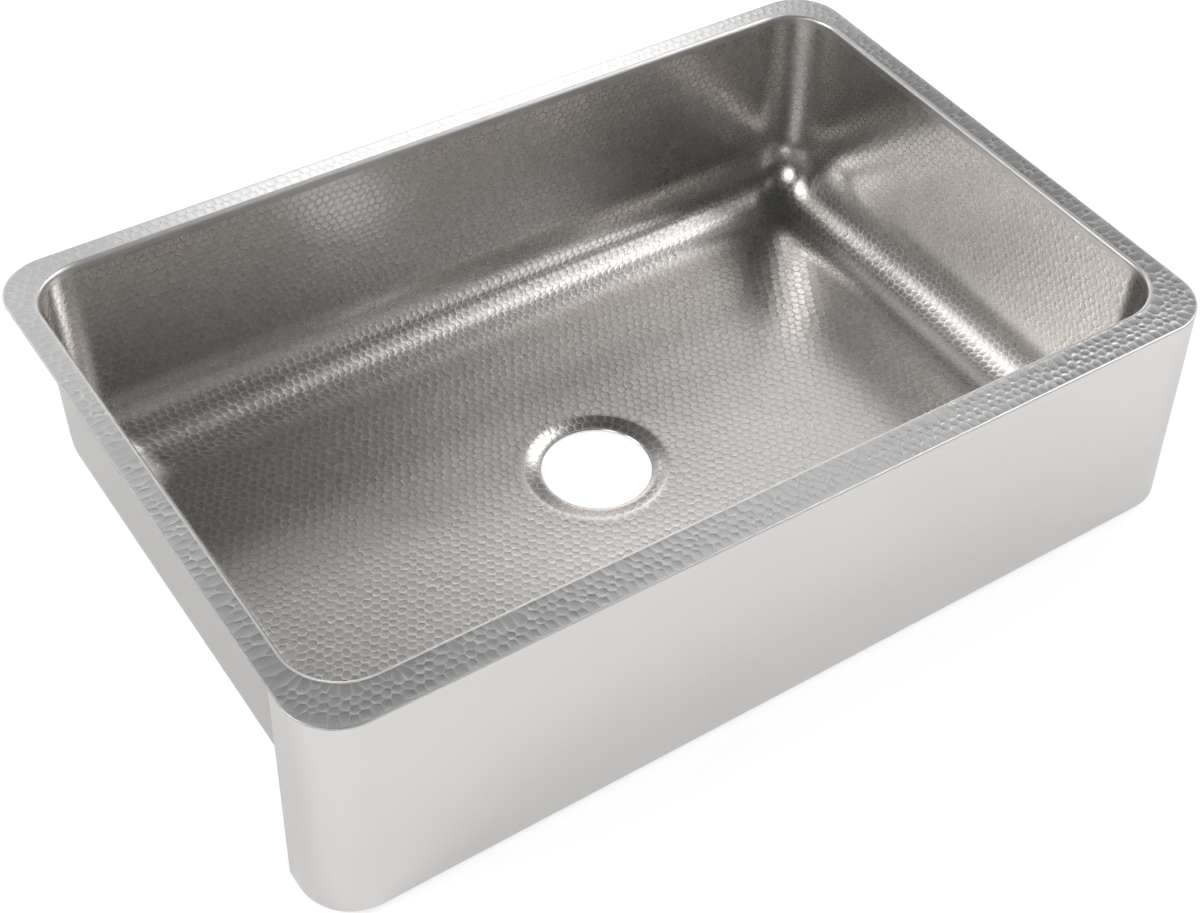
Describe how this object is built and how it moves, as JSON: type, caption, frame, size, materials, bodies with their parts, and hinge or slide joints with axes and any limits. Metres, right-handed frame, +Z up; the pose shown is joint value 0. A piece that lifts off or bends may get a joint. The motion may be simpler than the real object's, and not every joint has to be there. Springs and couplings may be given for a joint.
{
  "type": "apron front sink",
  "caption": "Farmhouse kitchen sink: a deep hammered steel basin with a recessed drain hole, a flat hammered deck and a smooth apron front that wraps both corners.",
  "frame": {"origin": "under the centre of the deck, at the level of the lowest point, the underside of the drain recess", "axes": "+Z up, -Y out of the apron's face, +X to the right as one stands at the sink"},
  "size_m": [0.762, 0.514, 0.1945],
  "materials": {
    "hammered_steel": "hand hammered, satin, smooth on the back",
    "deck_steel": "hand hammered, satin, with a polished lip",
    "satin_steel": "fine satin brushed",
    "mill_steel": "plain mill finish",
    "damping_rubber": "matt moulded sheet"
  },
  "bodies": {
    "root": {"bowl_shell": "hammered_steel", "rim_flange": "deck_steel", "apron_panel": "satin_steel", "apron_top_cleat": "mill_steel", "apron_rib_left": "mill_steel", "apron_rib_centre": "mill_steel", "apron_rib_right": "mill_steel", "apron_stay_left": "mill_steel", "apron_stay_right": "mill_steel", "return_bracket_left": "mill_steel", "return_bracket_right": "mill_steel", "floor_pad_left": "damping_rubber", "floor_pad_right": "damping_rubber", "floor_pad_front": "damping_rubber", "floor_pad_rear": "damping_rubber", "front_wall_pad": "damping_rubber"}
  },
  "joints": []
}
